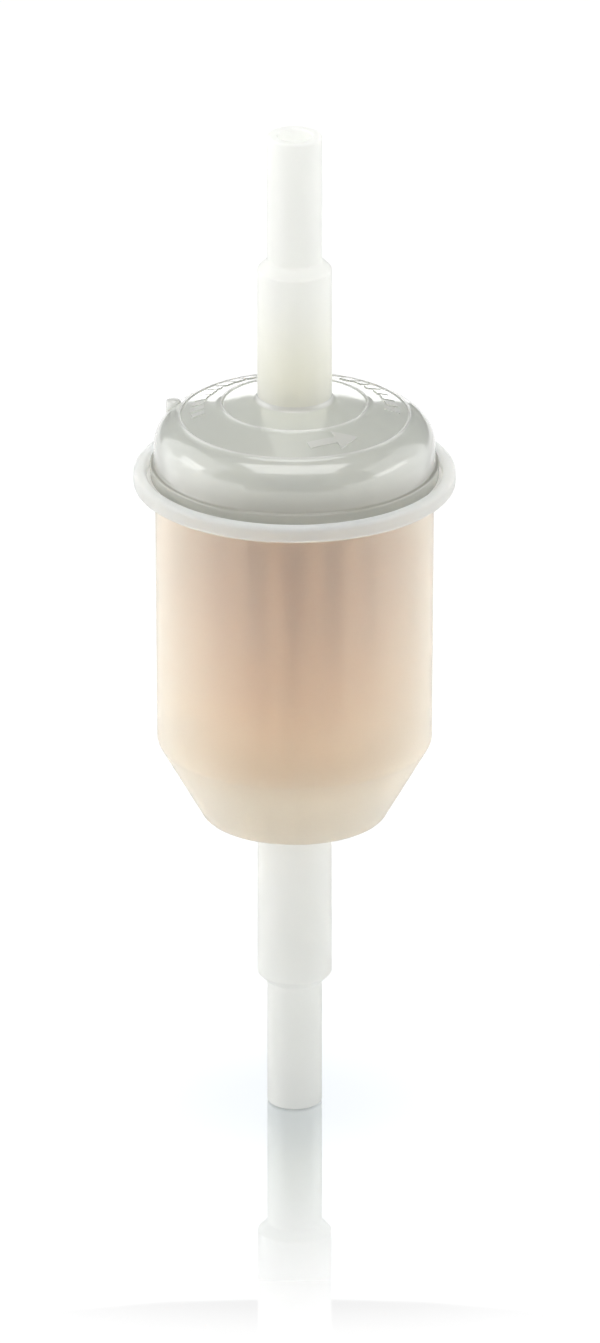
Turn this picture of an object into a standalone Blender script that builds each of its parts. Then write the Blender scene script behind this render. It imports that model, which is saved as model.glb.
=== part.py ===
"""Fuel prefilter: a welded in-line filter, with a pleated paper star inside a stepped nylon housing.

Metres, +Z up. The axis is Z, and the lower hose spigot's end lies at Z = 0.
"""

import math

import bpy
from mathutils import Matrix, Vector

# Hose spigots, alike on both halves: a thin tip and a thick step, each for its own hose
TIP_DIAMETER = 0.0061
TIP_LENGTH = 0.0147
BORE_DIAMETER = 0.0038
STEP_DIAMETER = 0.00825
STEP_WALL = 0.0015
LOWER_STEP_LENGTH = 0.0193
UPPER_STEP_LENGTH = 0.0154
SPIGOT_ROOT_FILLET = 0.0006
SPIGOT_EDGE = 0.0003
BORE_EDGE = 0.0002

# Bowl, measured on its outside
BOWL_MOUTH_DIAMETER = 0.0309
BOWL_BASE_DIAMETER = 0.0203
BOWL_LENGTH = 0.0393
BOWL_CONE_ANGLE = math.radians(29.5)
BOWL_DRAFT_ANGLE = math.radians(0.32)
BOWL_BASE_FILLET = 0.0008
BOWL_KNEE_FILLET = 0.0012
BOWL_WALL = 0.0015

# Flange round the bowl's mouth, with the raised collar that the lid is welded into
FLANGE_THICKNESS = 0.0008
COLLAR_WIDTH = 0.00145
COLLAR_HEIGHT = 0.0011
COLLAR_EDGE = 0.0005
COLLAR_GROOVE = 0.0004

# Lid
LID_PROUD = 0.00015
LID_WALL = 0.0014
FOOT_STEP = 0.0004
FOOT_HEIGHT = 0.00156
FOOT_WIDTH = 0.0024
LID_STRAIGHT = 0.00194
SHOULDER_RADIUS = 0.0035
CROWN_RADIUS = 0.036
INNER_RING_DIAMETER = 0.0162
OUTER_RING_DIAMETER = 0.0255
RING_WIDTH = 0.0004
RING_HEIGHT = 0.00015
NUB_DIAMETER = 0.0016
NUB_DISTANCE = 0.0143
NUB_EDGE = 0.00035

# Filter element
PLEATS = 18
PLEAT_DEPTH = 0.0078
LOWER_PLEAT_DEPTH = 0.0062
PAPER_THICKNESS = 0.00045
FOLD_RADIUS = 0.00055
SEAM_DEPTH = 0.003
SEAM_THICKNESS = 0.0004
UPPER_DISC_THICKNESS = 0.001
LOWER_DISC_THICKNESS = 0.0009
DISC_SEAT_WIDTH = 0.0004
DISC_EDGE = 0.0003
NECK_DEPTH = 0.0022
NECK_WALL = 0.0011
TRAY_RIM_WIDTH = 0.00045
TRAY_RIM_HEIGHT = 0.001
GLUE_THICKNESS = 0.0009
ELEMENT_TO_BOWL = 0.00065
TRAY_TO_CONE = 0.0006
LOWER_CHAMBER_HEIGHT = 0.005

# Plane in which both the lid's nub and the paper's seam lie
NUB_AND_SEAM_AZIMUTH = math.radians(160)

# Gap between pieces that touch, and the rounding of small moulded corners
CLEARANCE = 0.0003
SMALL_EDGE = 0.0002

# Facets
TURN_STEPS = 48
NUB_TURN_STEPS = 16
FACET_TURN = math.radians(40)
FOLD_FACETS = 4

# Heights and radii that several pieces share
tip_radius = TIP_DIAMETER / 2
step_radius = STEP_DIAMETER / 2
step_bevel = step_radius - tip_radius
bowl_mouth_radius = BOWL_MOUTH_DIAMETER / 2
bowl_base_radius = BOWL_BASE_DIAMETER / 2
bowl_base_height = TIP_LENGTH + step_bevel + LOWER_STEP_LENGTH
flange_height = bowl_base_height + BOWL_LENGTH
seat_height = flange_height + FLANGE_THICKNESS
disc_seat_height = seat_height - UPPER_DISC_THICKNESS - CLEARANCE
lid_height = seat_height + CLEARANCE
lid_wall_radius = bowl_mouth_radius + LID_PROUD
foot_radius = lid_wall_radius + FOOT_STEP
collar_inner_radius = foot_radius + COLLAR_GROOVE
shoulder_height = lid_height + FOOT_HEIGHT + LID_STRAIGHT


def rounded(corners, closed=True):
    """Outline through (radius, height, fillet) corners, each fillet an arc tangent to both its sides."""
    points = []
    for index, (radius, height, fillet) in enumerate(corners):
        corner = Vector((radius, height))
        at_end = not closed and index in (0, len(corners) - 1)
        if not fillet or at_end:
            points.append(corner)
            continue
        before = Vector(corners[index - 1][:2]) - corner
        after = Vector(corners[(index + 1) % len(corners)][:2]) - corner
        turn = math.pi - before.angle(after)
        reach = fillet * math.tan(turn / 2)
        bisector = (before.normalized() + after.normalized()).normalized()
        centre = corner + bisector * fillet / math.cos(turn / 2)
        start = corner + before.normalized() * reach - centre
        side = math.copysign(1, before.y * after.x - before.x * after.y)
        steps = max(2, round(turn / FACET_TURN))
        for step in range(steps + 1):
            points.append(centre + Matrix.Rotation(side * turn * step / steps, 2) @ start)
    return [(point.x, point.y) for point in points]


def inner_side(outer, wall):
    """The inside of an even wall, from the outer line's corners in rising order."""
    line = [Vector(corner) for corner in outer]
    inner = []
    for index in range(1, len(line) - 1):
        below = (line[index] - line[index - 1]).normalized()
        above = (line[index + 1] - line[index]).normalized()
        inward = Vector((-below.y, below.x)) + Vector((-above.y, above.x))
        inward = inward.normalized()
        inner.append(line[index] + inward * wall / inward.dot(Vector((-below.y, below.x))))
    return inner


def arc(centre_height, radius, first, last, steps, centre_radius=0.0):
    """Points of an arc in the section plane, by angles from the horizontal."""
    angles = [first + (last - first) * step / steps for step in range(steps + 1)]
    return [(centre_radius + radius * math.cos(a), centre_height + radius * math.sin(a), 0) for a in angles]


def spigot_outside(end, rise):
    """Outer corners of a hose spigot, from its free end to its step; rise is 1 upward and -1 downward."""
    return [
        (tip_radius, end, SPIGOT_EDGE),
        (tip_radius, end + rise * TIP_LENGTH, SPIGOT_EDGE),
        (step_radius, end + rise * (TIP_LENGTH + step_bevel), SPIGOT_EDGE),
    ]


def spigot_bore(end, rise):
    """Bore of the same spigot: narrow in the tip, wider in the step so that the wall stays even."""
    bore_radius, wide_radius = BORE_DIAMETER / 2, step_radius - STEP_WALL
    return [
        (bore_radius, end, BORE_EDGE),
        (bore_radius, end + rise * TIP_LENGTH, 0),
        (wide_radius, end + rise * (TIP_LENGTH + step_bevel + wide_radius - bore_radius), 0),
    ]


def material(name, colour, roughness, transmission=0.0):
    """A plain Principled material; nylon lets part of the light through."""
    finish = bpy.data.materials.new(name)
    finish.use_nodes = True
    finish.diffuse_color = (*colour, 1)
    shader = finish.node_tree.nodes["Principled BSDF"]
    shader.inputs["Base Color"].default_value = (*colour, 1)
    shader.inputs["Roughness"].default_value = roughness
    shader.inputs["Transmission Weight"].default_value = transmission
    return finish


def add_part(name, mesh, finish):
    """Link a mesh to the filter's collection as one named part."""
    part = bpy.data.objects.new(name, mesh)
    mesh.materials.append(finish)
    parts.objects.link(part)
    return part


def turned(name, outline, finish, closed=True):
    """A solid of revolution about Z. An open outline starts and ends on the axis."""
    mesh = bpy.data.meshes.new(name)
    count = len(outline)
    edges = [(index, (index + 1) % count) for index in range(count if closed else count - 1)]
    mesh.from_pydata([(radius, 0, height) for radius, height in outline], edges, [])
    part = add_part(name, mesh, finish)
    screw = part.modifiers.new("Turn", "SCREW")
    screw.angle = 2 * math.pi
    screw.steps = screw.render_steps = TURN_STEPS
    screw.use_merge_vertices = True
    screw.merge_threshold = 0.00001
    screw.use_smooth_shade = True
    return part


def along(azimuth, distance):
    """The point at a distance from the origin along an azimuth in plan."""
    return Vector((distance * math.cos(azimuth), distance * math.sin(azimuth)))


def strip(name, lower, upper, thickness, finish):
    """A sheet of even thickness, lofted between a lower and an upper line of the same number of points."""
    count = len(lower)
    faces = [(index, index + 1, index + 1 + count, index + count) for index in range(count - 1)]
    mesh = bpy.data.meshes.new(name)
    mesh.from_pydata([*lower, *upper], [], faces)
    part = add_part(name, mesh, finish)
    sheet = part.modifiers.new("Sheet", "SOLIDIFY")
    sheet.thickness = thickness
    sheet.offset = 0
    sheet.use_even_offset = True
    return part


# Start with an empty scene
for old in list(bpy.data.objects):
    bpy.data.objects.remove(old, do_unlink=True)
parts = bpy.data.collections.new("fuel_prefilter")
bpy.context.scene.collection.children.link(parts)
guides = bpy.data.collections.new("guides")
bpy.context.scene.collection.children.link(guides)

# Bowl's outer line, from the spigot's root to the flange: flat base, cone, and a wall with mould draft
cone_slope, draft_slope = math.tan(BOWL_CONE_ANGLE), math.tan(BOWL_DRAFT_ANGLE)
foot_of_wall = bowl_mouth_radius - BOWL_LENGTH * draft_slope
knee_rise = (foot_of_wall - bowl_base_radius) / (cone_slope - draft_slope)
knee = (bowl_base_radius + knee_rise * cone_slope, bowl_base_height + knee_rise)
bowl_line = [
    (step_radius, bowl_base_height),
    (bowl_base_radius, bowl_base_height),
    knee,
    (bowl_mouth_radius, flange_height),
]
floor_corner, inner_knee = inner_side(bowl_line, BOWL_WALL)
mouth_inner_radius = bowl_mouth_radius - BOWL_WALL


def bowl_inside(height):
    """Inner radius of the bowl at a height: the cone's below the knee, and the drafted wall's above it."""
    in_cone = floor_corner.x + (height - floor_corner.y) * cone_slope
    in_wall = inner_knee.x + (height - inner_knee.y) * draft_slope
    return min(in_cone, in_wall)


disc_seat_radius = mouth_inner_radius + DISC_SEAT_WIDTH + CLEARANCE
collar_outer_radius = collar_inner_radius + COLLAR_WIDTH
collar_top = seat_height + COLLAR_HEIGHT

nylon = material("bowl_nylon", (0.86, 0.84, 0.78), 0.4, 0.6)
bowl_outline = rounded(
    [
        (collar_inner_radius, collar_top, COLLAR_EDGE),
        (collar_outer_radius, collar_top, COLLAR_EDGE),
        (collar_outer_radius, flange_height, COLLAR_EDGE),
        (bowl_mouth_radius, flange_height, SMALL_EDGE),
        (*knee, BOWL_KNEE_FILLET),
        (bowl_base_radius, bowl_base_height, BOWL_BASE_FILLET),
        (step_radius, bowl_base_height, SPIGOT_ROOT_FILLET),
        *reversed(spigot_outside(0, 1)),
        *spigot_bore(0, 1),
        (step_radius - STEP_WALL, floor_corner.y, SPIGOT_ROOT_FILLET),
        (*floor_corner, BOWL_BASE_FILLET),
        (*inner_knee, BOWL_KNEE_FILLET),
        (mouth_inner_radius, disc_seat_height, 0),
        (disc_seat_radius, disc_seat_height, 0),
        (disc_seat_radius, seat_height, 0),
        (collar_inner_radius, seat_height, 0),
    ]
)
turned("housing_bowl", bowl_outline, nylon)

# Lid: a crowned top that runs tangent into the round shoulder, with two fine raised rings on the crown
lid_nylon = material("lid_nylon", (0.78, 0.79, 0.74), 0.2, 0.5)
shoulder_centre = lid_wall_radius - SHOULDER_RADIUS
tangent_angle = math.acos(shoulder_centre / (CROWN_RADIUS - SHOULDER_RADIUS))
crown_centre = shoulder_height - (CROWN_RADIUS - SHOULDER_RADIUS) * math.sin(tangent_angle)


def crown_height(radius, inset=0.0):
    """Height of the crown at a radius, or of its inner side at a wall's inset."""
    return crown_centre + math.sqrt((CROWN_RADIUS - inset) ** 2 - radius**2)


def ring_line(diameter):
    """Section of one raised ring on the crown, from its inner to its outer foot."""
    radii = [diameter / 2 + share * RING_WIDTH for share in (-0.5, 0, 0.5)]
    rises = (0, RING_HEIGHT, 0)
    return [(radius, crown_height(radius) + rise, 0) for radius, rise in zip(radii, rises)]


shoulder = arc(shoulder_height, SHOULDER_RADIUS, tangent_angle, 0, 7, shoulder_centre)
inner_shoulder = arc(shoulder_height, SHOULDER_RADIUS - LID_WALL, 0, tangent_angle, 4, shoulder_centre)
lid_inner_radius = lid_wall_radius - LID_WALL
foot_inner_radius = foot_radius - FOOT_WIDTH
foot_top = lid_height + FOOT_HEIGHT
wide_bore_radius = step_radius - STEP_WALL
crown_middle = (step_radius + INNER_RING_DIAMETER / 2) / 2
between_rings = (INNER_RING_DIAMETER + OUTER_RING_DIAMETER) / 4
lid_end = crown_height(step_radius) + UPPER_STEP_LENGTH + step_bevel + TIP_LENGTH
lid_outline = rounded(
    [
        *spigot_outside(lid_end, -1),
        (step_radius, crown_height(step_radius), SPIGOT_ROOT_FILLET),
        (crown_middle, crown_height(crown_middle), 0),
        *ring_line(INNER_RING_DIAMETER),
        (between_rings, crown_height(between_rings), 0),
        *ring_line(OUTER_RING_DIAMETER),
        *shoulder,
        (lid_wall_radius, foot_top, SMALL_EDGE),
        (foot_radius, foot_top, SMALL_EDGE),
        (foot_radius, lid_height, SMALL_EDGE),
        (foot_inner_radius, lid_height, 0),
        (foot_inner_radius, foot_top, 0),
        (lid_inner_radius, foot_top + lid_inner_radius - foot_inner_radius, 0),
        *inner_shoulder,
        (between_rings, crown_height(between_rings, LID_WALL), 0),
        (crown_middle, crown_height(crown_middle, LID_WALL), 0),
        (wide_bore_radius, crown_height(wide_bore_radius, LID_WALL), SPIGOT_ROOT_FILLET),
        *reversed(spigot_bore(lid_end, -1)),
    ]
)
lid = turned("lid", lid_outline, lid_nylon)


def shoulder_surface(distance, inset=0.0):
    """Height of the round shoulder at a distance from the axis, or of its inner side at a wall's inset."""
    return shoulder_height + math.sqrt((SHOULDER_RADIUS - inset) ** 2 - (distance - shoulder_centre) ** 2)


# Nub on the shoulder, where the mould's ejector pin stood. Its foot ends inside the lid's wall
nub_radius = NUB_DIAMETER / 2
nub_top = shoulder_height + SHOULDER_RADIUS
foot_ceiling = shoulder_surface(NUB_DISTANCE + nub_radius)
foot_floor = shoulder_surface(NUB_DISTANCE - nub_radius, LID_WALL)
nub_foot = (foot_ceiling + foot_floor) / 2
nub_outline = [(0, nub_top, 0), (nub_radius, nub_top, NUB_EDGE), (nub_radius, nub_foot, 0), (0, nub_foot, 0)]
nub = turned("nub", rounded(nub_outline, closed=False), lid_nylon, closed=False)
nub.modifiers["Turn"].steps = nub.modifiers["Turn"].render_steps = NUB_TURN_STEPS
nub.location = (*along(NUB_AND_SEAM_AZIMUTH, NUB_DISTANCE), 0)
nub.hide_render = True
nub.display_type = "WIRE"
parts.objects.unlink(nub)
guides.objects.link(nub)
nub_joint = lid.modifiers.new("Nub", "BOOLEAN")
nub_joint.operation = "UNION"
nub_joint.solver = "EXACT"
nub_joint.object = nub

# Upper end disc: its rim is clamped between the bowl's ledge and the lid's foot. Its neck centres the star
disc_plastic = material("disc_plastic", (0.80, 0.78, 0.72), 0.5)
upper_disc_radius = disc_seat_radius - CLEARANCE
upper_disc_base = disc_seat_height + CLEARANCE
upper_disc_top = lid_height - CLEARANCE
star_outer_radius = mouth_inner_radius - ELEMENT_TO_BOWL
star_inner_radius = star_outer_radius - PLEAT_DEPTH
neck_radius = star_inner_radius - CLEARANCE
turned(
    "upper_end_disc",
    rounded(
        [
            (neck_radius - NECK_WALL, upper_disc_top, DISC_EDGE),
            (upper_disc_radius, upper_disc_top, 0),
            (upper_disc_radius, upper_disc_base, 0),
            (neck_radius, upper_disc_base, 0),
            (neck_radius, upper_disc_base - NECK_DEPTH, DISC_EDGE),
            (neck_radius - NECK_WALL, upper_disc_base - NECK_DEPTH, DISC_EDGE),
        ]
    ),
    disc_plastic,
)

# Lower end disc: a closed tray with a centring boss, small enough to let the fuel rise past it
tray_base = floor_corner.y + LOWER_CHAMBER_HEIGHT
tray_radius = bowl_inside(tray_base) - TRAY_TO_CONE
tray_floor = tray_base + LOWER_DISC_THICKNESS
lower_star_outer_radius = tray_radius - TRAY_RIM_WIDTH
lower_star_inner_radius = lower_star_outer_radius - LOWER_PLEAT_DEPTH
boss_radius = lower_star_inner_radius - CLEARANCE
turned(
    "lower_end_disc",
    rounded(
        [
            (0, tray_floor + TRAY_RIM_HEIGHT, 0),
            (boss_radius, tray_floor + TRAY_RIM_HEIGHT, DISC_EDGE),
            (boss_radius, tray_floor, 0),
            (tray_radius - TRAY_RIM_WIDTH, tray_floor, 0),
            (tray_radius - TRAY_RIM_WIDTH, tray_floor + TRAY_RIM_HEIGHT, 0),
            (tray_radius, tray_floor + TRAY_RIM_HEIGHT, 0),
            (tray_radius, tray_base, DISC_EDGE),
            (0, tray_base, 0),
        ],
        closed=False,
    ),
    disc_plastic,
    closed=False,
)

# Glue beads: they seal the pleats' ends to the two discs
glue = material("glue", (0.80, 0.70, 0.52), 0.35)
upper_glue_top = upper_disc_base - CLEARANCE
paper_top = upper_glue_top - GLUE_THICKNESS - CLEARANCE
lower_glue_base = tray_floor + CLEARANCE
paper_base = lower_glue_base + GLUE_THICKNESS + CLEARANCE


def glue_bead(name, inner, outer, base):
    """A flat ring of glue with a rounded upper edge."""
    top = base + GLUE_THICKNESS
    corners = [(inner, top, 0), (outer, top, DISC_EDGE), (outer, base, 0), (inner, base, 0)]
    turned(name, rounded(corners), glue)


upper_glue_base = upper_glue_top - GLUE_THICKNESS
glue_bead("upper_glue_bead", star_inner_radius, star_outer_radius + CLEARANCE, upper_glue_base)
glue_bead("lower_glue_bead", lower_star_inner_radius, lower_star_outer_radius - CLEARANCE, lower_glue_base)


def star_line(outer_radius, inner_radius, height):
    """Middle line of the paper in plan: an arc round each fold, and flat panels tangent to the arcs.

    It starts and ends at the seam, where the paper's two ends stand side by side in place of a fold.
    """
    half_pitch = math.pi / PLEATS
    outer_centre = outer_radius - PAPER_THICKNESS / 2 - FOLD_RADIUS
    inner_centre = inner_radius + PAPER_THICKNESS / 2 + FOLD_RADIUS
    span = along(half_pitch, inner_centre) - along(0, outer_centre)
    normal = math.atan2(span.y, span.x) - math.acos(2 * FOLD_RADIUS / span.length)
    half_flap = SEAM_THICKNESS / 2 + CLEARANCE + PAPER_THICKNESS / 2
    flap = math.asin(half_flap / (outer_radius - PAPER_THICKNESS))
    points = [along(NUB_AND_SEAM_AZIMUTH + flap, outer_radius - PAPER_THICKNESS)]
    for fold in range(PLEATS):
        inner_azimuth = NUB_AND_SEAM_AZIMUTH + (2 * fold + 1) * half_pitch
        sweep = normal - half_pitch
        for facet in range(FOLD_FACETS + 1):
            facing = inner_azimuth + math.pi + sweep * (1 - 2 * facet / FOLD_FACETS)
            points.append(along(inner_azimuth, inner_centre) + along(facing, FOLD_RADIUS))
        if fold == PLEATS - 1:
            break
        outer_azimuth = inner_azimuth + half_pitch
        for facet in range(FOLD_FACETS + 1):
            facing = outer_azimuth + normal * (2 * facet / FOLD_FACETS - 1)
            points.append(along(outer_azimuth, outer_centre) + along(facing, FOLD_RADIUS))
    points.append(along(NUB_AND_SEAM_AZIMUTH - flap, outer_radius - PAPER_THICKNESS))
    return [(point.x, point.y, height) for point in points]


paper = material("filter_paper", (0.74, 0.56, 0.40), 0.85)
lower_star = star_line(lower_star_outer_radius, lower_star_inner_radius, paper_base)
upper_star = star_line(star_outer_radius, star_inner_radius, paper_top)
strip("pleated_paper", lower_star, upper_star, PAPER_THICKNESS, paper)


def seam_line(outer_radius, height):
    """The glued seam's radial line at one height, just inside the paper's two ends."""
    reach = (outer_radius - PAPER_THICKNESS - SEAM_DEPTH, outer_radius - PAPER_THICKNESS)
    return [(*along(NUB_AND_SEAM_AZIMUTH, radius), height) for radius in reach]


lower_seam = seam_line(lower_star_outer_radius, paper_base)
upper_seam = seam_line(star_outer_radius, paper_top)
strip("paper_seam", lower_seam, upper_seam, SEAM_THICKNESS, glue)
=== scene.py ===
import math
import random

import bmesh
import bpy
from mathutils import Matrix, Vector


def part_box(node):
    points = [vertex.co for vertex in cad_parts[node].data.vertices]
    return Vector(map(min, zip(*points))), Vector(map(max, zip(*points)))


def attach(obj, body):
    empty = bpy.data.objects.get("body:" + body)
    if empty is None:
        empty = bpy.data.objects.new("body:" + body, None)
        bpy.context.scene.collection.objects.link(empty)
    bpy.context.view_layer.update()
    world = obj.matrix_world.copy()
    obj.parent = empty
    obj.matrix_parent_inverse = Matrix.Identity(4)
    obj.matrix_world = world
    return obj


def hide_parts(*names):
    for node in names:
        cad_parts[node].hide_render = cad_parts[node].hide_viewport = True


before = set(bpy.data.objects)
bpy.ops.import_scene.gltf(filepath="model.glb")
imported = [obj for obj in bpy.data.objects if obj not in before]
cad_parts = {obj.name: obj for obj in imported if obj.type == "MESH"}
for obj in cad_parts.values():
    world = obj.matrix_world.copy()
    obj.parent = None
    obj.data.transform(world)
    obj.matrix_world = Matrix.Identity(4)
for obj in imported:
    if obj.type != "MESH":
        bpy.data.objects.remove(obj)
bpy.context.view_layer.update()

# Housing bowl: the lower half of the filter, one injection moulding in natural nylon with a stepped hose
# spigot, a cone, a drafted wall and a flange. The flange's collar takes the lid's foot, which is spun in
# and so welded. The wall is milky, so the paper inside shows through it only as a soft tan glow.
TIP_DIAMETER = 0.0061
TIP_LENGTH = 0.0147
BORE_DIAMETER = 0.0038
STEP_DIAMETER = 0.00825
STEP_WALL = 0.0015
LOWER_STEP_LENGTH = 0.0193
SPIGOT_EDGE = 0.0003
SPIGOT_ROOT_FILLET = 0.0006
BOWL_MOUTH_DIAMETER = 0.0309
BOWL_BASE_DIAMETER = 0.0203
BOWL_LENGTH = 0.0393
BOWL_CONE_ANGLE = math.radians(29.5)
BOWL_DRAFT_ANGLE = math.radians(0.32)
BOWL_BASE_FILLET = 0.0008
BOWL_KNEE_FILLET = 0.0012
BOWL_WALL = 0.0015
COLLAR_WIDTH = 0.00145
COLLAR_EDGE = 0.0005
UPPER_DISC_THICKNESS = 0.001
DISC_SEAT_WIDTH = 0.0004
SMALL_EDGE = 0.0002
SHARP_TURN = math.radians(40)
FILLET_TURN = math.radians(12)
TURN_STEPS = 144
NYLON_GRAIN = 2600
NYLON_CLOUDS = 180
# Heights where the painted reflection round the upper spigot's root fades in and out.
ROOT_REFLECTION_STARTS = (0.06, 0.07)
ROOT_REFLECTION_ENDS = (0.098, 0.086)

bowl_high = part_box("housing_bowl")[1]
lid_low, lid_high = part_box("lid")
disc_low, disc_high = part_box("upper_end_disc")
clearance = lid_low.z - disc_high.z
tip_radius, step_radius, bore_radius = TIP_DIAMETER / 2, STEP_DIAMETER / 2, BORE_DIAMETER / 2
wide_bore_radius = step_radius - STEP_WALL
step_bevel = step_radius - tip_radius
bowl_mouth_radius, bowl_base_radius = BOWL_MOUTH_DIAMETER / 2, BOWL_BASE_DIAMETER / 2
bowl_base_height = TIP_LENGTH + step_bevel + LOWER_STEP_LENGTH
flange_height = bowl_base_height + BOWL_LENGTH
collar_outer_radius, collar_top = bowl_high.x, bowl_high.z
collar_inner_radius = collar_outer_radius - COLLAR_WIDTH
seat_height = disc_high.z
disc_seat_height = seat_height - UPPER_DISC_THICKNESS - clearance


def rounded(corners, closed=True):
    """Outline through (radius, height, fillet) corners, each fillet an arc tangent to both its sides."""
    points = []
    for index, (radius, height, fillet) in enumerate(corners):
        corner = Vector((radius, height))
        if not fillet or (not closed and index in (0, len(corners) - 1)):
            points.append(corner)
            continue
        before = Vector(corners[index - 1][:2]) - corner
        after = Vector(corners[(index + 1) % len(corners)][:2]) - corner
        turn = math.pi - before.angle(after)
        bisector = (before.normalized() + after.normalized()).normalized()
        centre = corner + bisector * fillet / math.cos(turn / 2)
        start = corner + before.normalized() * fillet * math.tan(turn / 2) - centre
        side = math.copysign(1, before.y * after.x - before.x * after.y)
        steps = max(3, round(turn / FILLET_TURN))
        for step in range(steps + 1):
            points.append(centre + Matrix.Rotation(side * turn * step / steps, 2) @ start)
    return points


def inner_side(outer, wall):
    """The inside of an even wall, from the outer line's corners in rising order."""
    line = [Vector(corner) for corner in outer]
    inner = []
    for before, corner, after in zip(line, line[1:], line[2:]):
        below, above = (corner - before).normalized(), (after - corner).normalized()
        inward = (Vector((-below.y, below.x)) + Vector((-above.y, above.x))).normalized()
        inner.append(corner + inward * wall / inward.dot(Vector((-below.y, below.x))))
    return inner


def as_piece(name, mesh):
    """Link a mesh as a piece of the filter, shaded smooth but for its sharp edges."""
    mesh.shade_smooth()
    mesh.set_sharp_from_angle(angle=SHARP_TURN)
    piece = bpy.data.objects.new(name, mesh)
    bpy.context.scene.collection.objects.link(piece)
    return piece


def applied(guide):
    """The mesh that an object's modifiers give; the object itself goes."""
    mesh = bpy.data.meshes.new_from_object(guide.evaluated_get(bpy.context.evaluated_depsgraph_get()))
    bpy.data.objects.remove(guide)
    return mesh


def turned(name, outline, closed=True):
    """A solid of revolution about Z, from an outline of (radius, height) points."""
    profile = bpy.data.meshes.new(name)
    count = len(outline)
    edges = [(index, (index + 1) % count) for index in range(count if closed else count - 1)]
    profile.from_pydata([(radius, 0, height) for radius, height in outline], edges, [])
    guide = bpy.data.objects.new(name + "_profile", profile)
    bpy.context.scene.collection.objects.link(guide)
    screw = guide.modifiers.new("Turn", "SCREW")
    screw.angle = 2 * math.pi
    screw.steps = screw.render_steps = TURN_STEPS
    screw.use_merge_vertices = True
    screw.merge_threshold = 0.000001
    screw.use_normal_calculate = True
    return as_piece(name, applied(guide))


def spigot_outside(end, rise):
    """Outer corners of a hose spigot, from its free end to its step; rise is 1 upward and -1 downward."""
    return [
        (tip_radius, end, SPIGOT_EDGE),
        (tip_radius, end + rise * TIP_LENGTH, SPIGOT_EDGE),
        (step_radius, end + rise * (TIP_LENGTH + step_bevel), SPIGOT_EDGE),
    ]


def spigot_bore(end, rise):
    """Bore of the same spigot: narrow in the tip, wider in the step so that the wall stays even."""
    return [
        (bore_radius, end, SMALL_EDGE),
        (bore_radius, end + rise * TIP_LENGTH, 0),
        (wide_bore_radius, end + rise * (TIP_LENGTH + step_bevel + wide_bore_radius - bore_radius), 0),
    ]


class Signal:
    """A shader socket that Python's operators work on: each operator adds a Math node to its finish."""

    def __init__(self, finish, socket):
        self.finish = finish
        self.socket = socket

    def math(self, operation, first, second):
        return self.finish.node("ShaderNodeMath", {"operation": operation}, {0: first, 1: second})

    def __add__(self, other):
        return self.math("ADD", self, other)

    def __radd__(self, other):
        return self.math("ADD", other, self)

    def __sub__(self, other):
        return self.math("SUBTRACT", self, other)

    def __rsub__(self, other):
        return self.math("SUBTRACT", other, self)

    def __mul__(self, other):
        return self.math("MULTIPLY", self, other)

    def __rmul__(self, other):
        return self.math("MULTIPLY", other, self)


class Finish:
    """A material's node tree, or the world's, with one method that makes any node."""

    def __init__(self, block, output="ShaderNodeOutputMaterial"):
        self.block = block
        block.use_nodes = True
        self.tree = block.node_tree
        self.tree.nodes.clear()
        self.output = self.tree.nodes.new(output)

    def node(self, kind, settings, sockets, result=0):
        """Make a node: its settings first, then the values or links of its sockets. Returns one output."""
        made = self.tree.nodes.new(kind)
        for name, value in settings.items():
            if name == "stops":
                while len(made.color_ramp.elements) < len(value):
                    made.color_ramp.elements.new(1)
                for element, (position, colour) in zip(made.color_ramp.elements, value):
                    element.position = position
                    element.color = colour
            else:
                setattr(made, name, value)
        for name, value in sockets.items():
            if isinstance(value, Signal):
                self.tree.links.new(value.socket, made.inputs[name])
            else:
                made.inputs[name].default_value = value
        return Signal(self, made.outputs[result])

    def place(self):
        """The object's own coordinates, in metres."""
        return self.node("ShaderNodeTexCoord", {}, {}, "Object")

    def along(self, axis):
        """One of the object's own coordinates."""
        return self.node("ShaderNodeSeparateXYZ", {}, {0: self.place()}, axis)

    def noise(self, scale, detail, place=None):
        """Fractal noise from 0 to 1, with scale cells to a metre."""
        sockets = {"Vector": place or self.place(), "Scale": scale, "Detail": detail}
        return self.node("ShaderNodeTexNoise", {}, sockets, "Fac")

    def fade(self, value, start, end):
        """0 at the start value and 1 at the end value, smooth between them."""
        sockets = {"Value": value, "From Min": start, "From Max": end}
        return self.node("ShaderNodeMapRange", {"interpolation_type": "SMOOTHSTEP"}, sockets)

    def blend(self, share, first, second):
        """A colour between two colours."""
        return self.node("ShaderNodeMix", {"data_type": "RGBA"}, {0: share, 6: first, 7: second}, 2)

    def bump(self, height, depth, strength):
        """A normal for a relief of this depth in metres."""
        return self.node("ShaderNodeBump", {}, {"Strength": strength, "Distance": depth, "Height": height})

    def distance(self, vector):
        """A vector's length."""
        return self.node("ShaderNodeVectorMath", {"operation": "LENGTH"}, {0: vector}, "Value")

    def ray(self, what):
        """What the light path says about the ray that arrives."""
        return self.node("ShaderNodeLightPath", {}, {}, what)

    def sees_backdrop(self):
        """1 for the rays that should find pure white: from the camera, or sent on by gloss or glass."""
        rays = self.ray("Is Camera Ray") + self.ray("Is Glossy Ray") + self.ray("Is Transmission Ray")
        return rays.math("MINIMUM", rays, 1.0)

    def first_bounce(self, count):
        """1 for the rays from a surface that the camera sees.

        A mesh counts their bounces as 1, and the world as 2.
        """
        depth = self.ray("Ray Depth")
        return depth.math("LESS_THAN", depth, count + 0.5)

    def principled(self, sockets):
        """The main shader of a material."""
        return self.node("ShaderNodeBsdfPrincipled", {}, sockets)

    def wear(self, shader):
        """Give the material this surface shader."""
        self.tree.links.new(shader.socket, self.output.inputs["Surface"])
        return self.block


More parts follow.
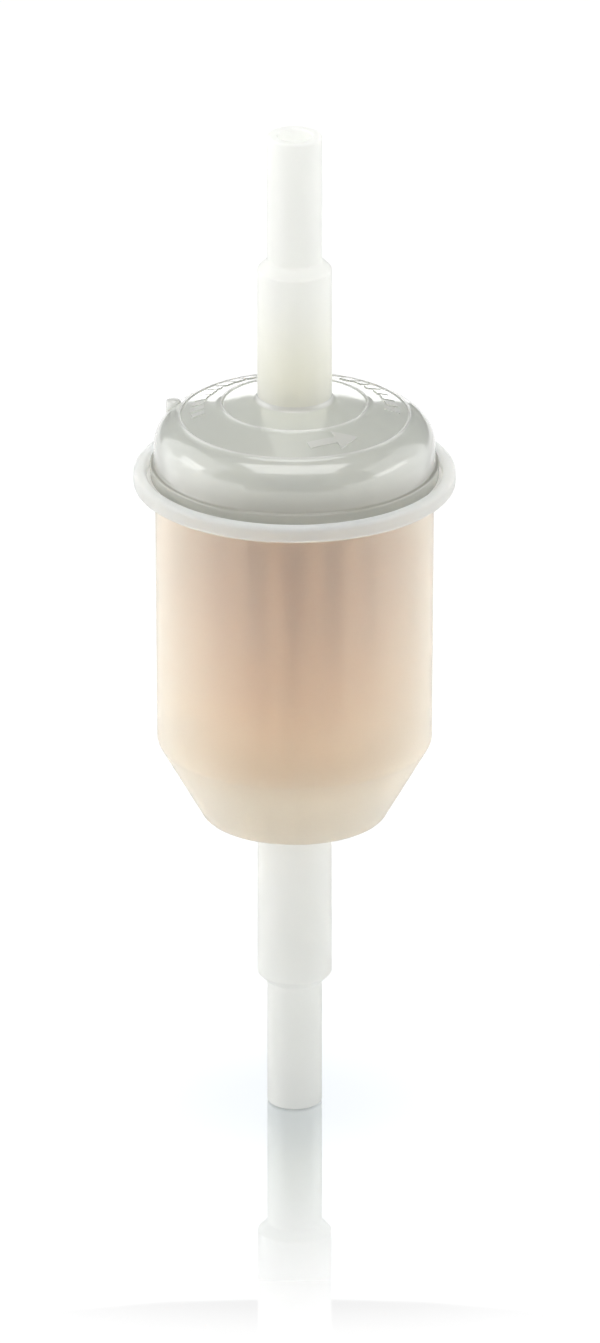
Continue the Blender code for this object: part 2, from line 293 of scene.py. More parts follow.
def dress(piece, node, slot, *materials, borders=()):
    """Put a piece in the place of a CAD node, in one material, or in several from its foot up to its top."""
    piece.data.materials.clear()
    for material in materials:
        piece.data.materials.append(material)
    for face in piece.data.polygons:
        face.material_index = sum(face.center.z > border for border in borders)
    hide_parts(node)
    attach(piece, "root")


cone_slope, draft_slope = math.tan(BOWL_CONE_ANGLE), math.tan(BOWL_DRAFT_ANGLE)
knee_rise = (bowl_mouth_radius - BOWL_LENGTH * draft_slope - bowl_base_radius) / (cone_slope - draft_slope)
knee = (bowl_base_radius + knee_rise * cone_slope, bowl_base_height + knee_rise)
bowl_line = [
    (step_radius, bowl_base_height),
    (bowl_base_radius, bowl_base_height),
    knee,
    (bowl_mouth_radius, flange_height),
]
floor_corner, inner_knee = inner_side(bowl_line, BOWL_WALL)
mouth_inner_radius = bowl_mouth_radius - BOWL_WALL
disc_seat_radius = mouth_inner_radius + DISC_SEAT_WIDTH + clearance
bowl = turned(
    "bowl",
    rounded(
        [
            (collar_inner_radius, collar_top, COLLAR_EDGE),
            (collar_outer_radius, collar_top, COLLAR_EDGE),
            (collar_outer_radius, flange_height, COLLAR_EDGE),
            (bowl_mouth_radius, flange_height, SMALL_EDGE),
            (*knee, BOWL_KNEE_FILLET),
            (bowl_base_radius, bowl_base_height, BOWL_BASE_FILLET),
            (step_radius, bowl_base_height, SPIGOT_ROOT_FILLET),
            *reversed(spigot_outside(0, 1)),
            *spigot_bore(0, 1),
            (wide_bore_radius, floor_corner.y, SPIGOT_ROOT_FILLET),
            (*floor_corner, BOWL_BASE_FILLET),
            (*inner_knee, BOWL_KNEE_FILLET),
            (mouth_inner_radius, disc_seat_height, 0),
            (disc_seat_radius, disc_seat_height, 0),
            (disc_seat_radius, seat_height, 0),
            (collar_inner_radius, seat_height, 0),
        ]
    ),
)


def satin_nylon(name, clearness, first, second, painted_root_reflection=False):
    """Milky nylon with a satin skin, cloudy between two colours.

    With this flag, the zone round the upper spigot's root turns a cream tint: a painted reflection of the
    lid's light on it.
    """
    finish = Finish(bpy.data.materials.new(name))
    grain = finish.noise(NYLON_GRAIN, 2)
    colour = finish.blend(finish.noise(NYLON_CLOUDS, 3), first, second)
    if painted_root_reflection:
        # Painted reflection: cream round the upper spigot's root stands in for the lid's light on it.
        height = finish.along("Z")
        root_reflection = finish.fade(height, *ROOT_REFLECTION_STARTS) * finish.fade(height, *ROOT_REFLECTION_ENDS)
        colour = finish.blend(root_reflection, colour, (0.975, 0.965, 0.885, 1))
    sockets = {
        "Base Color": colour,
        "Roughness": 0.9 + 0.08 * grain,
        "IOR": 1.4,
        "Normal": finish.bump(grain, 0.00002, 0.5),
        "Transmission Weight": clearness,
        "Coat Weight": 0.15,
        "Coat Roughness": 0.3,
        "Coat IOR": 1.5,
        "Sheen Weight": 1.0,
        "Sheen Roughness": 0.7,
        "Sheen Tint": (0.62, 0.63, 0.61, 1),
    }
    return finish.wear(finish.principled(sockets))


spigot_nylon = satin_nylon("spigot_nylon", 0.5, (0.975, 0.976, 0.962, 1), (0.985, 0.986, 0.974, 1), True)
stained_nylon = satin_nylon("bowl_nylon", 0.94, (0.95, 0.89, 0.795, 1), (0.965, 0.915, 0.83, 1))
collar_nylon = satin_nylon("collar_nylon", 0.66, (0.87, 0.895, 0.91, 1), (0.89, 0.915, 0.93, 1))
bowl_borders = (bowl_base_height + SMALL_EDGE, flange_height + SMALL_EDGE)
dress(bowl, "housing_bowl", "bowl_nylon", spigot_nylon, stained_nylon, collar_nylon, borders=bowl_borders)

# Lower end disc: a closed tray moulded in natural plastic. Its boss centres the paper star, and its edge
# stays clear of the cone, so that the fuel can rise past it to the outside of the pleats.
DISC_EDGE = 0.0003
TRAY_RIM_WIDTH = 0.00045
LOWER_DISC_THICKNESS = 0.0009
LOWER_PLEAT_DEPTH = 0.0062

tray_low, tray_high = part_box("lower_end_disc")
tray_radius, tray_floor = tray_high.x, tray_low.z + LOWER_DISC_THICKNESS
lower_star_outer_radius = tray_radius - TRAY_RIM_WIDTH
lower_star_inner_radius = lower_star_outer_radius - LOWER_PLEAT_DEPTH
tray = turned(
    "lower_disc",
    rounded(
        [
            (0, tray_high.z, 0),
            (lower_star_inner_radius - clearance, tray_high.z, DISC_EDGE),
            (lower_star_inner_radius - clearance, tray_floor, 0),
            (lower_star_outer_radius, tray_floor, 0),
            (lower_star_outer_radius, tray_high.z, SMALL_EDGE),
            (tray_radius, tray_high.z, SMALL_EDGE),
            (tray_radius, tray_low.z, DISC_EDGE),
            (0, tray_low.z, 0),
        ],
        closed=False,
    ),
    closed=False,
)


def moulded(name, first, second, roughness):
    """Plain moulded plastic with faint clouds in its colour and a fine grain."""
    finish = Finish(bpy.data.materials.new(name))
    grain = finish.noise(3000, 2)
    sockets = {
        "Base Color": finish.blend(finish.noise(240, 3), first, second),
        "Roughness": roughness + 0.12 * grain,
        "Normal": finish.bump(grain, 0.00002, 0.6),
        "IOR": 1.5,
    }
    return finish.wear(finish.principled(sockets))


disc_plastic = moulded("disc_plastic", (0.7, 0.58, 0.44, 1), (0.77, 0.65, 0.51, 1), 0.42)
dress(tray, "lower_end_disc", "disc_plastic", disc_plastic)

# Glue beads: adhesive poured as a ring into each end disc, which wets the pleats' ends as it sets. Their
# free edge is a little wavy, where the glue crept outward between one pleat and the next.
PLEATS = 18
BEAD_WAVE = 0.00012
NUB_AND_SEAM_AZIMUTH = math.radians(160)


def glue_bead(name, node, inner):
    """A ring of glue in its CAD solid's place, with a rounded and slightly wavy outer edge."""
    low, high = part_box(node)
    outer = high.x
    corners = [(inner, high.z, SMALL_EDGE), (outer, high.z, DISC_EDGE), (outer, low.z, 0), (inner, low.z, 0)]
    bead = turned(name, rounded(corners))
    for vertex in bead.data.vertices:
        spot = vertex.co
        if spot.xy.length > (inner + outer) / 2:
            swell = math.cos(PLEATS * (math.atan2(spot.y, spot.x) - NUB_AND_SEAM_AZIMUTH)) - 1
            spot.xy *= 1 + BEAD_WAVE * swell / outer
    dress(bead, node, "glue", glue)


def set_glue(name):
    """Cream adhesive with a wet-looking skin, uneven in depth."""
    finish = Finish(bpy.data.materials.new(name))
    ripple = finish.noise(700, 2)
    sockets = {
        "Base Color": finish.blend(ripple, (0.7, 0.56, 0.36, 1), (0.82, 0.72, 0.54, 1)),
        "Roughness": 0.25 + 0.2 * ripple,
        "Normal": finish.bump(ripple, 0.00008, 0.7),
        "IOR": 1.5,
    }
    return finish.wear(finish.principled(sockets))


glue = set_glue("glue")
glue_bead("lower_bead", "lower_glue_bead", lower_star_inner_radius)

# Pleated paper: resin-treated filter paper, scored, folded into a star of 18 pleats and cured. The fuel
# goes through it from the outside in. The star tapers a little towards the bowl's cone.
PLEAT_DEPTH = 0.0078
PAPER_THICKNESS = 0.00045
FOLD_RADIUS = 0.00055
FOLD_FACETS = 10
PAPER_ROWS = 24
PLEAT_UNEVENNESS = 0.1
SEAM_THICKNESS = 0.0004
SEAM_DEPTH = 0.003
# Painted shade: over these heights the paper darkens towards its upper end.
PAINTED_SHADE_HEIGHTS = (0.04, 0.072)
# Painted light: below these heights the paper's lower end turns paler.
PAINTED_LIGHT_HEIGHTS = (0.053, 0.044)

paper_low, paper_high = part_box("pleated_paper")
bead_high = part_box("upper_glue_bead")[1]
star_outer_radius = bead_high.x - clearance
star_inner_radius = star_outer_radius - PLEAT_DEPTH
chance = random.Random(18)
unevenness = [chance.uniform(-PLEAT_UNEVENNESS, PLEAT_UNEVENNESS) for _ in range(2 * PLEATS + 1)]
unevenness[0] = unevenness[-1] = 0


def around(azimuth, distance):
    """The point at a distance from the origin along an azimuth in plan."""
    return Vector((distance * math.cos(azimuth), distance * math.sin(azimuth)))


def star_line(outer_radius, inner_radius, looseness):
    """Middle line of the paper in plan: an arc round each fold, and flat panels tangent to the arcs.

    Looseness lets the folds wander sideways a little, as they do in hand-gathered paper.
    """
    half_pitch = math.pi / PLEATS
    outer_centre = outer_radius - PAPER_THICKNESS / 2 - FOLD_RADIUS
    inner_centre = inner_radius + PAPER_THICKNESS / 2 + FOLD_RADIUS
    span = around(half_pitch, inner_centre) - around(0, outer_centre)
    normal = math.atan2(span.y, span.x) - math.acos(2 * FOLD_RADIUS / span.length)
    half_flap = SEAM_THICKNESS / 2 + clearance + PAPER_THICKNESS / 2
    flap = math.asin(half_flap / (outer_radius - PAPER_THICKNESS))
    points = [around(NUB_AND_SEAM_AZIMUTH + flap, outer_radius - PAPER_THICKNESS)]
    for fold in range(1, 2 * PLEATS):
        is_outer = fold % 2 == 0
        azimuth = NUB_AND_SEAM_AZIMUTH + (fold + looseness * unevenness[fold]) * half_pitch
        centre = around(azimuth, outer_centre if is_outer else inner_centre)
        turn = -1 if is_outer else 1
        sweep = normal if is_outer else normal - half_pitch
        for facet in range(FOLD_FACETS + 1):
            facing = azimuth + (0 if is_outer else math.pi) + turn * sweep * (1 - 2 * facet / FOLD_FACETS)
            points.append(centre + around(facing, FOLD_RADIUS))
    points.append(around(NUB_AND_SEAM_AZIMUTH - flap, outer_radius - PAPER_THICKNESS))
    return points


def sheet_mesh(name, lines, heights):
    """A thin sheet through lines of the same number of points in plan, one line at each height."""
    count = len(lines[0])
    spots = [(point.x, point.y, height) for line, height in zip(lines, heights) for point in line]
    faces = []
    for row in range(len(lines) - 1):
        for corner in range(row * count, row * count + count - 1):
            faces.append((corner, corner + 1, corner + 1 + count, corner + count))
    mesh = bpy.data.meshes.new(name)
    mesh.from_pydata(spots, [], faces)
    return mesh


def lofted(name, lines, heights, thickness):
    """A piece of even thickness through the same lines."""
    guide = bpy.data.objects.new(name + "_sheet", sheet_mesh(name, lines, heights))
    bpy.context.scene.collection.objects.link(guide)
    sheet = guide.modifiers.new("Sheet", "SOLIDIFY")
    sheet.thickness = thickness
    sheet.offset = 0
    sheet.use_even_offset = True
    return as_piece(name, applied(guide))


star_lines, star_heights = [], []
for row in range(PAPER_ROWS + 1):
    rise = row / PAPER_ROWS
    outer_radius = lower_star_outer_radius + (star_outer_radius - lower_star_outer_radius) * rise
    inner_radius = lower_star_inner_radius + (star_inner_radius - lower_star_inner_radius) * rise
    star_lines.append(star_line(outer_radius, inner_radius, math.sin(math.pi * rise)))
    star_heights.append(paper_low.z + (paper_high.z - paper_low.z) * rise)
star = lofted("paper_star", star_lines, star_heights, PAPER_THICKNESS)


def filter_paper(name):
    """Tan cellulose paper, cloudy and fibrous, with a painted shade that darkens it towards its upper end.

    Its lowest part is paler: painted light from below.
    """
    finish = Finish(bpy.data.materials.new(name))
    formation = finish.noise(900, 4)
    stretched = finish.node(
        "ShaderNodeMapping", {}, {"Vector": finish.place(), "Scale": (9000.0, 9000.0, 1500.0)}
    )
    fibres = finish.noise(1.0, 3, stretched)
    low = finish.blend(formation, (0.87, 0.66, 0.46, 1), (0.93, 0.75, 0.55, 1))
    high = finish.blend(formation, (0.52, 0.29, 0.17, 1), (0.59, 0.35, 0.23, 1))
    height = finish.along("Z")
    # Painted shade, darker towards the paper's upper end.
    colour = finish.blend(finish.fade(height, *PAINTED_SHADE_HEIGHTS), low, high)
    # Painted light from below, paler at the paper's lower end.
    colour = finish.blend(finish.fade(height, *PAINTED_LIGHT_HEIGHTS), colour, (0.92, 0.8, 0.65, 1))
    relief = 0.6 * fibres + 0.4 * formation
    sockets = {
        "Base Color": finish.blend(0.35 * fibres, colour, (0.9, 0.76, 0.6, 1)),
        "Roughness": 0.82 + 0.12 * fibres,
        "Normal": finish.bump(relief, 0.00006, 0.8),
        "Sheen Weight": 0.15,
    }
    return finish.wear(finish.principled(sockets))


dress(star, "pleated_paper", "filter_paper", filter_paper("filter_paper"))

# Paper seam: the strip of adhesive between the paper's two ends, which closes the star. It's set before
# the star goes into its end discs.
seam_lines = []
for line_radius in (lower_star_outer_radius, star_outer_radius):
    ends = (line_radius - PAPER_THICKNESS - SEAM_DEPTH, line_radius - PAPER_THICKNESS)
    seam_lines.append([around(NUB_AND_SEAM_AZIMUTH, end) for end in ends])
seam = lofted("seam_glue", seam_lines, (paper_low.z, paper_high.z), SEAM_THICKNESS)
dress(seam, "paper_seam", "glue", glue)
glue_bead("upper_bead", "upper_glue_bead", star_inner_radius)

# Upper end disc: moulded in natural plastic, with a neck inside the star. Its rim lies on the bowl's
# ledge under the lid's foot, which clamps it, and the clean fuel leaves through its open centre.
NECK_WALL = 0.0011

neck_radius = star_inner_radius - clearance
disc_radius = disc_seat_radius - clearance
disc_base = disc_seat_height + clearance
upper_disc = turned(
    "upper_disc",
    rounded(
        [
            (neck_radius - NECK_WALL, disc_high.z, DISC_EDGE),
            (disc_radius, disc_high.z, SMALL_EDGE),
            (disc_radius, disc_base, 0),
            (neck_radius, disc_base, 0),
            (neck_radius, disc_low.z, DISC_EDGE),
            (neck_radius - NECK_WALL, disc_low.z, DISC_EDGE),
        ]
    ),
)
dress(upper_disc, "upper_end_disc", "disc_plastic", disc_plastic)

# Lid: the upper half, one injection moulding in natural nylon like the bowl, but thinner and polished, so
# it looks like greyish glass. Fine rings and plain cast marks stand a little proud of its crown.
LID_PROUD = 0.00015
LID_WALL = 0.0014
FOOT_STEP = 0.0004
FOOT_HEIGHT = 0.00156
FOOT_WIDTH = 0.0024
LID_STRAIGHT = 0.00194
SHOULDER_RADIUS = 0.0035
CROWN_RADIUS = 0.036
INNER_RING_DIAMETER = 0.0162
OUTER_RING_DIAMETER = 0.0255
RING_WIDTH = 0.0004
RING_HEIGHT = 0.00015
NUB_DIAMETER = 0.0016
NUB_DISTANCE = 0.0143
NUB_EDGE = 0.00035
MARK_HEIGHT = 0.00014
MARK_SINK = 0.0003
ARROW_AZIMUTH = math.radians(-66)
ARROW_DISTANCE = 0.0104
ARROW_LENGTH = 0.0058
ARROW_WIDTH = 0.003
ARROW_OUTLINE = [(-0.5, 0.16), (-0.22, 0.16), (0.06, 0.16), (0.07, 0.5), (0.28, 0.26), (0.5, 0.02)]
BAR_ARCS = [(118, 188, 9), (0, 56, 7)]
BAR_DISTANCE = 0.0108
BAR_LENGTHS = (0.0008, 0.0015)
BAR_WIDTHS = (0.0012, 0.0018)
# Heights of the painted shade at the lid's foot.
SHADED_TOP = 0.0802
SHADED_BOTTOM = 0.0768

lid_wall_radius = bowl_mouth_radius + LID_PROUD
foot_radius = lid_wall_radius + FOOT_STEP
foot_inner_radius = foot_radius - FOOT_WIDTH
lid_inner_radius = lid_wall_radius - LID_WALL
foot_top = lid_low.z + FOOT_HEIGHT
shoulder_height = foot_top + LID_STRAIGHT
shoulder_centre = lid_wall_radius - SHOULDER_RADIUS
tangent_angle = math.acos(shoulder_centre / (CROWN_RADIUS - SHOULDER_RADIUS))
crown_centre = shoulder_height - (CROWN_RADIUS - SHOULDER_RADIUS) * math.sin(tangent_angle)


def crown_height(radius, inset=0.0):
    """Height of the crown at a radius, or of its inner side at a wall's inset."""
    return crown_centre + math.sqrt((CROWN_RADIUS - inset) ** 2 - radius**2)


def crown_line(first, last, inset=0.0, steps=8):
    """Points of the crown between two radii, without the ends."""
    radii = [first + (last - first) * step / steps for step in range(1, steps)]
    return [(radius, crown_height(radius, inset), 0) for radius in radii]


def ring_line(diameter):
    """Section of one raised ring on the crown, from its inner to its outer foot."""
    shares = [step / 6 for step in range(7)]
    points = [(diameter / 2 + (share - 0.5) * RING_WIDTH, math.sin(math.pi * share)) for share in shares]
    return [(radius, crown_height(radius) + rise * RING_HEIGHT, 0) for radius, rise in points]


def shoulder_line(radius, first, last, steps):
    """Points of the round shoulder, by angles from the horizontal."""
    angles = [first + (last - first) * step / steps for step in range(steps + 1)]
    return [
        (shoulder_centre + radius * math.cos(angle), shoulder_height + radius * math.sin(angle), 0)
        for angle in angles
    ]


inner_ring, outer_ring = INNER_RING_DIAMETER / 2, OUTER_RING_DIAMETER / 2
inner_crown_edge = (CROWN_RADIUS - LID_WALL) * math.cos(tangent_angle)
lid_outline = rounded(
    [
        *spigot_outside(lid_high.z, -1),
        (step_radius, crown_height(step_radius), SPIGOT_ROOT_FILLET),
        *crown_line(step_radius + SPIGOT_ROOT_FILLET, inner_ring - RING_WIDTH / 2),
        *ring_line(INNER_RING_DIAMETER),
        *crown_line(inner_ring + RING_WIDTH / 2, outer_ring - RING_WIDTH / 2),
        *ring_line(OUTER_RING_DIAMETER),
        *shoulder_line(SHOULDER_RADIUS, tangent_angle, 0, 20),
        (lid_wall_radius, foot_top, SMALL_EDGE),
        (foot_radius, foot_top, SMALL_EDGE),
        (foot_radius, lid_low.z, SMALL_EDGE),
        (foot_inner_radius, lid_low.z, 0),
        (foot_inner_radius, foot_top, 0),
        (lid_inner_radius, foot_top + lid_inner_radius - foot_inner_radius, 0),
        *shoulder_line(SHOULDER_RADIUS - LID_WALL, 0, tangent_angle, 14),
        *crown_line(inner_crown_edge, wide_bore_radius + SPIGOT_ROOT_FILLET, LID_WALL, 16),
        (wide_bore_radius, crown_height(wide_bore_radius, LID_WALL), SPIGOT_ROOT_FILLET),
        *reversed(spigot_bore(lid_high.z, -1)),
    ]
)
lid = turned("dome_lid", lid_outline)


def mark(stations):
    """A low raised mark that follows the crown, from a strip of (left, right) points in plan."""
    shell = bmesh.new()
    rows = []
    for left, right in stations:
        spots = [left.lerp(right, share) for share in (0, 0.5, 1)]
        top = [shell.verts.new((*spot, crown_height(spot.length) + MARK_HEIGHT)) for spot in spots]
        sole = [shell.verts.new((*spot, crown_height(spot.length) - MARK_SINK)) for spot in spots]
        rows.append(top + sole[::-1])
    for near, far in zip(rows, rows[1:]):
        for index in range(6):
            after = (index + 1) % 6
            shell.faces.new((near[index], near[after], far[after], far[index]))
    shell.faces.new(rows[0][::-1])
    shell.faces.new(rows[-1])
    bmesh.ops.recalc_face_normals(shell, faces=shell.faces)
    mesh = bpy.data.meshes.new("mark")
    shell.to_mesh(mesh)
    shell.free()
    solid = bpy.data.objects.new("mark", mesh)
    bpy.context.scene.collection.objects.link(solid)
    return solid


def shoulder_surface(distance, inset=0.0):
    """Height of the round shoulder at a distance from the axis, or of its inner side at a wall's inset."""
    return shoulder_height + math.sqrt((SHOULDER_RADIUS - inset) ** 2 - (distance - shoulder_centre) ** 2)


def ejector_nub():
    """The nub that the mould's ejector pin left on the shoulder. Its foot ends inside the lid's wall."""
    radius, top = NUB_DIAMETER / 2, shoulder_height + SHOULDER_RADIUS
    foot = (shoulder_surface(NUB_DISTANCE + radius) + shoulder_surface(NUB_DISTANCE - radius, LID_WALL)) / 2
    outline = [(0, top, 0), (radius, top, NUB_EDGE), (radius, foot, 0), (0, foot, 0)]
    nub = turned("nub", rounded(outline, closed=False), closed=False)
    nub.location = (*around(NUB_AND_SEAM_AZIMUTH, NUB_DISTANCE), 0)
    return nub


def bar(azimuth, radius, length, width):
    """A short cast bar that follows a circle round the spigot."""
    half_turn = length / radius / 2
    turns = [azimuth + half_turn * share for share in (-1, -0.5, 0, 0.5, 1)]
    return mark([(around(turn, radius - width / 2), around(turn, radius + width / 2)) for turn in turns])


def flow_arrow(azimuth, radius, length, width):
    """The plain arrow that shows which way the fuel flows."""
    centre, ahead = around(azimuth, radius), around(azimuth + math.pi / 2, 1)
    aside = around(azimuth, 1)
    stations = []
    for advance, spread in ARROW_OUTLINE:
        middle = centre + ahead * advance * length
        stations.append((middle - aside * spread * width, middle + aside * spread * width))
    return mark(stations)


marks = [ejector_nub(), flow_arrow(ARROW_AZIMUTH, ARROW_DISTANCE, ARROW_LENGTH, ARROW_WIDTH)]
chance = random.Random(5)
for first, last, count in BAR_ARCS:
    for index in range(count):
        azimuth = math.radians(first + (last - first) * index / (count - 1))
        marks.append(bar(azimuth, BAR_DISTANCE, chance.uniform(*BAR_LENGTHS), chance.uniform(*BAR_WIDTHS)))
for solid in marks:
    weld = lid.modifiers.new("Mark", "BOOLEAN")
    weld.operation = "UNION"
    weld.solver = "EXACT"
    weld.object = solid
lid = as_piece("dome_lid", applied(lid))
for solid in marks:
    bpy.data.objects.remove(solid)


def polished_nylon(name):
    """The lid's nylon: clear and greyish, with painted shade at its foot.

    Its raised marks are whiter: a painted highlight, and a little milkier where they make it thick.
    """
    finish = Finish(bpy.data.materials.new(name))
    grain = finish.noise(NYLON_GRAIN, 2)
    clear = finish.blend(finish.noise(NYLON_CLOUDS, 3), (0.845, 0.87, 0.82, 1), (0.905, 0.925, 0.875, 1))
    # Painted shade: the lid darkens towards its foot, down to the collar.
    shaded = finish.fade(finish.along("Z"), SHADED_TOP, SHADED_BOTTOM)
    smooth = finish.blend(shaded, clear, (0.655, 0.655, 0.595, 1))
    ends = {0: finish.place(), 1: (0, 0, crown_centre)}
    offset = finish.node("ShaderNodeVectorMath", {"operation": "SUBTRACT"}, ends)
    # Painted highlight: the raised rings and marks are whiter, partly also from their thicker nylon.
    raised = finish.fade(finish.distance(offset) - CROWN_RADIUS, MARK_HEIGHT / 7, MARK_HEIGHT / 2)
    sockets = {
        "Base Color": finish.blend(raised, smooth, (0.96, 0.965, 0.94, 1)),
        "Roughness": 0.3 + 0.1 * grain,
        "IOR": 1.2,
        "Normal": finish.bump(grain, 0.00001, 0.12),
        "Transmission Weight": 0.5,
        "Coat Weight": 1.0,
        "Coat Roughness": 0.09,
        "Coat IOR": 1.66,
    }
    return finish.wear(finish.principled(sockets))


spigot_root = crown_height(step_radius) + SPIGOT_ROOT_FILLET
dress(lid, "lid", "lid_nylon", polished_nylon("lid_nylon"), spigot_nylon, borders=(spigot_root,))

# Floor: glossy white acrylic. Close to the foot it mirrors the lower spigot in a slightly cooler tone, and
# less and less of it farther out. Round the foot a painted shadow makes the mirror darker and bluer.
# Seen from well above it mirrors nothing.
FLOOR_HALF_WIDTH = 1.5
FLOOR_DROP = 0.00005
FLOOR_GLOW = 1.12
GLOWING_SHARE = 0.85
# Reach of the painted shadow round the foot, where it fades out and where it is full.
PAINTED_SHADOW_FAR = 0.021
PAINTED_SHADOW_NEAR = 0.004
MIRROR_NEAR = 0.01
MIRROR_FAR = 0.075
STEEP_VIEW = 0.54
SLANTED_VIEW = 0.61

floor_mesh = bpy.data.meshes.new("floor")
corners = [(-1, -1), (1, -1), (1, 1), (-1, 1)]
floor_spots = [(x * FLOOR_HALF_WIDTH, y * FLOOR_HALF_WIDTH, -FLOOR_DROP) for x, y in corners]
floor_mesh.from_pydata(floor_spots, [], [range(4)])
floor = bpy.data.objects.new("floor", floor_mesh)
bpy.context.scene.collection.objects.link(floor)
finish = Finish(bpy.data.materials.new("floor"))
diffuse = finish.node("ShaderNodeBsdfDiffuse", {}, {"Color": (0.8, 0.8, 0.8, 1)})
glow = finish.node("ShaderNodeEmission", {}, {"Color": (1, 1, 1, 1), "Strength": FLOOR_GLOW})
glowing = GLOWING_SHARE * finish.sees_backdrop()
matte = finish.node("ShaderNodeMixShader", {}, {0: glowing, 1: diffuse, 2: glow})
reach = finish.distance(finish.place())
# Painted shadow: the mirror turns darker and bluer close to the foot.
painted_shadow = finish.fade(reach, PAINTED_SHADOW_FAR, PAINTED_SHADOW_NEAR)
tone = finish.blend(painted_shadow, (0.9, 0.925, 0.93, 1), (0.82, 0.85, 0.872, 1))
mirror = finish.node("ShaderNodeBsdfAnisotropic", {}, {"Color": tone, "Roughness": 0.02})
near = 1 - finish.fade(reach, MIRROR_NEAR, MIRROR_FAR)
facing = finish.node("ShaderNodeLayerWeight", {}, {"Blend": 0.5}, "Facing")
steep = finish.ray("Is Camera Ray") * (1 - finish.fade(facing, STEEP_VIEW, SLANTED_VIEW))
surface = finish.node("ShaderNodeMixShader", {}, {0: near * (1 - steep), 1: matte, 2: mirror})
floor_mesh.materials.append(finish.wear(surface))

# Studio light: a white room that mirrors as a dark one, so that the lid looks like glass. The lid and the
# floor mirror white reflectors: a card behind the filter, a tall sheet on each side, a low fence all round
# and flaps at its sides. Softboxes light the filter from above, from both sides and from behind.
WALLS = [(0.0, 0.9), (0.25, 0.89), (0.5, 0.68), (0.85, 0.74), (1.0, 0.82)]
MIRRORED_WALLS = 0.08
CEILING_SHADE = 0.55
CEILING_FADE = (0.4, 0.55)
RIGHT_SHADE = 0.28
RIGHT_FADE = (-0.3, 0.5)
CARD_DISTANCE = 0.48
CARD_HALF_WIDTH = 0.093
CARD_HEIGHT = 0.232
CARD_GLOW = 2.6
SHEETS = [("left_sheet", -0.75, 0.9, 1.1, 1.4), ("right_sheet", 0.75, 0.7, 0.9, 1.2)]
SHEET_FRONT = -0.27
FENCE_RADIUS = 0.12
FENCE_HEIGHT = 0.078
FENCE_GLOW = 1.15
FLAP_RADIUS = 0.112
FLAP_GAP = 0.002
FLAP_BOTTOM = 0.032
FLAP_TOP = 0.1
FLAPS = [
    ("left_flap", range(20, 28), 0, 2.4),
    ("left_flap_rim", range(20, 30), 1, 1.95),
    ("left_flap_edge", range(19, 32), 2, 1.6),
    ("right_flap", range(-1, 5), 0, 1.9),
    ("right_flap_rim", range(-4, 6), 1, 1.65),
    ("right_flap_edge", range(-7, 6), 2, 1.4),
]
POSTS_AROUND = 48
DIM_GLOW = 0.6

world = Finish(bpy.data.worlds.new("studio"), "ShaderNodeOutputWorld")
way = world.node("ShaderNodeTexCoord", {}, {}, "Generated")
backward = 0.5 + 0.5 * world.node("ShaderNodeSeparateXYZ", {}, {0: way}, "Y")
rightward = world.fade(world.node("ShaderNodeSeparateXYZ", {}, {0: way}, "X"), *RIGHT_FADE)
upward = world.fade(world.node("ShaderNodeSeparateXYZ", {}, {0: way}, "Z"), *CEILING_FADE)
stops = [(position, (level, level, level, 1)) for position, level in WALLS]
walls = world.node("ShaderNodeValToRGB", {"stops": stops}, {0: backward})
lit = walls * (1 - CEILING_SHADE * upward) * (1 - RIGHT_SHADE * rightward)
mirror_image = world.first_bounce(2) * world.ray("Is Glossy Ray")
room = lit * (1 - mirror_image) + MIRRORED_WALLS * mirror_image
seen = world.ray("Is Camera Ray")
strength = seen + room * (1 - seen)
background = world.node("ShaderNodeBackground", {}, {"Color": (1, 1, 1, 1), "Strength": strength})
bpy.context.scene.world = world.wear(background)


def reflector(name, line, bottom, top, glow):
    """An upright white sheet over a line in plan. Only mirror images show it, dimmer after the first."""
    sheet = bpy.data.objects.new(name, sheet_mesh(name, (line, line), (bottom, top)))
    bpy.context.scene.collection.objects.link(sheet)
    finish = Finish(bpy.data.materials.new(name))
    strength = DIM_GLOW + (glow - DIM_GLOW) * finish.first_bounce(1)
    sheet.data.materials.append(finish.wear(finish.node("ShaderNodeEmission", {}, {"Strength": strength})))
    sheet.visible_camera = sheet.visible_diffuse = sheet.visible_transmission = sheet.visible_shadow = False


card_line = [Vector((x, CARD_DISTANCE)) for x in (-CARD_HALF_WIDTH, CARD_HALF_WIDTH)]
reflector("card", card_line, -FLOOR_DROP, CARD_HEIGHT - FLOOR_DROP, CARD_GLOW)
for name, x, back, top, glow in SHEETS:
    reflector(name, [Vector((x, y)) for y in (SHEET_FRONT, back)], 0, top, glow)


def bent_reflector(name, posts, radius, bottom, top, glow):
    """A reflector bent round the filter, from the first to the last of its posts."""
    line = [around(2 * math.pi * post / POSTS_AROUND, radius) for post in posts]
    reflector(name, line, bottom, top, glow)


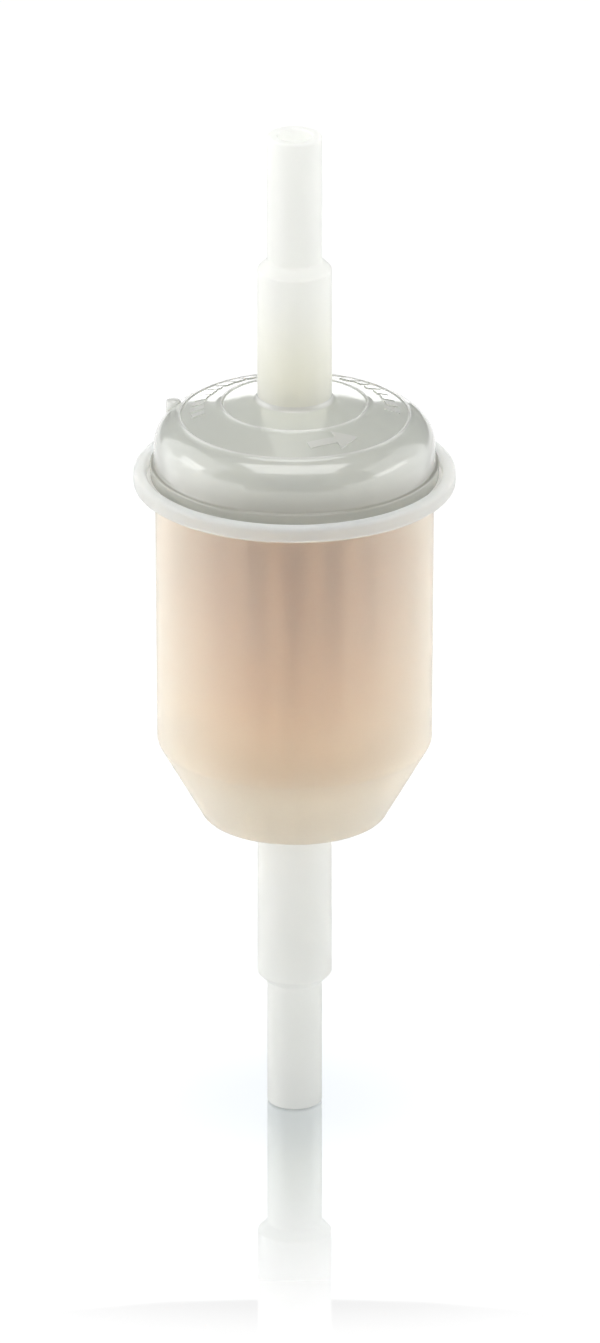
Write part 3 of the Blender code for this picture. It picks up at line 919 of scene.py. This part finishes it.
bent_reflector("fence", range(POSTS_AROUND + 1), FENCE_RADIUS, -FLOOR_DROP, FENCE_HEIGHT, FENCE_GLOW)
for name, posts, set_back, glow in FLAPS:
    bent_reflector(name, posts, FLAP_RADIUS + set_back * FLAP_GAP, FLAP_BOTTOM, FLAP_TOP, glow)


def softbox(name, place, target, width, height, radiance):
    """A rectangular lamp that faces a point, by the brightness of its face."""
    lamp = bpy.data.lights.new(name, "AREA")
    lamp.shape = "RECTANGLE"
    lamp.size, lamp.size_y = width, height
    lamp.energy = radiance * math.pi * width * height
    box = bpy.data.objects.new(name, lamp)
    box.location = place
    box.visible_camera = False
    box.rotation_euler = (Vector(target) - Vector(place)).to_track_quat("-Z", "Y").to_euler()
    bpy.context.scene.collection.objects.link(box)


lid_middle = (0, 0, 0.08)
softbox("top_softbox", (0, -0.08, 0.69), lid_middle, 0.54, 0.4, 3.0)
softbox("left_strip", (-0.575, 0.06, 0.23), lid_middle, 0.28, 0.3, 2.6)
softbox("left_panel", (-0.8, 0.02, 0.2), lid_middle, 0.6, 0.4, 0.6)
softbox("right_strip", (0.6, -0.03, 0.17), lid_middle, 0.4, 0.25, 2.35)
softbox("back_panel", (0, 1.5, 0.3), lid_middle, 0.5, 0.5, 2.2)

# Camera: a long lens a little above the filter, as in the photograph. The light may bounce often enough to
# pass through all of the filter's milky walls.
CAMERA_ELEVATION = math.radians(22.5)
CAMERA_DISTANCE = 2.5
CAMERA_TARGET = Vector((0.0006, 0, 0.05185))
CAMERA_LENS = 603.1
LIGHT_BOUNCES = 12

cycles = bpy.context.scene.cycles
cycles.max_bounces = cycles.transmission_bounces = 2 * LIGHT_BOUNCES
cycles.diffuse_bounces = cycles.glossy_bounces = LIGHT_BOUNCES
camera_data = bpy.data.cameras.new("camera")
camera_data.sensor_width = 36
camera_data.lens = CAMERA_LENS
camera_data.clip_end = 10
camera = bpy.data.objects.new("camera", camera_data)
camera.rotation_euler = (math.pi / 2 - CAMERA_ELEVATION, 0, 0)
camera.location = CAMERA_TARGET + CAMERA_DISTANCE * Vector(
    (0, -math.cos(CAMERA_ELEVATION), math.sin(CAMERA_ELEVATION))
)
bpy.context.scene.collection.objects.link(camera)
bpy.context.scene.camera = camera
bpy.context.scene.view_settings.view_transform = "Standard"
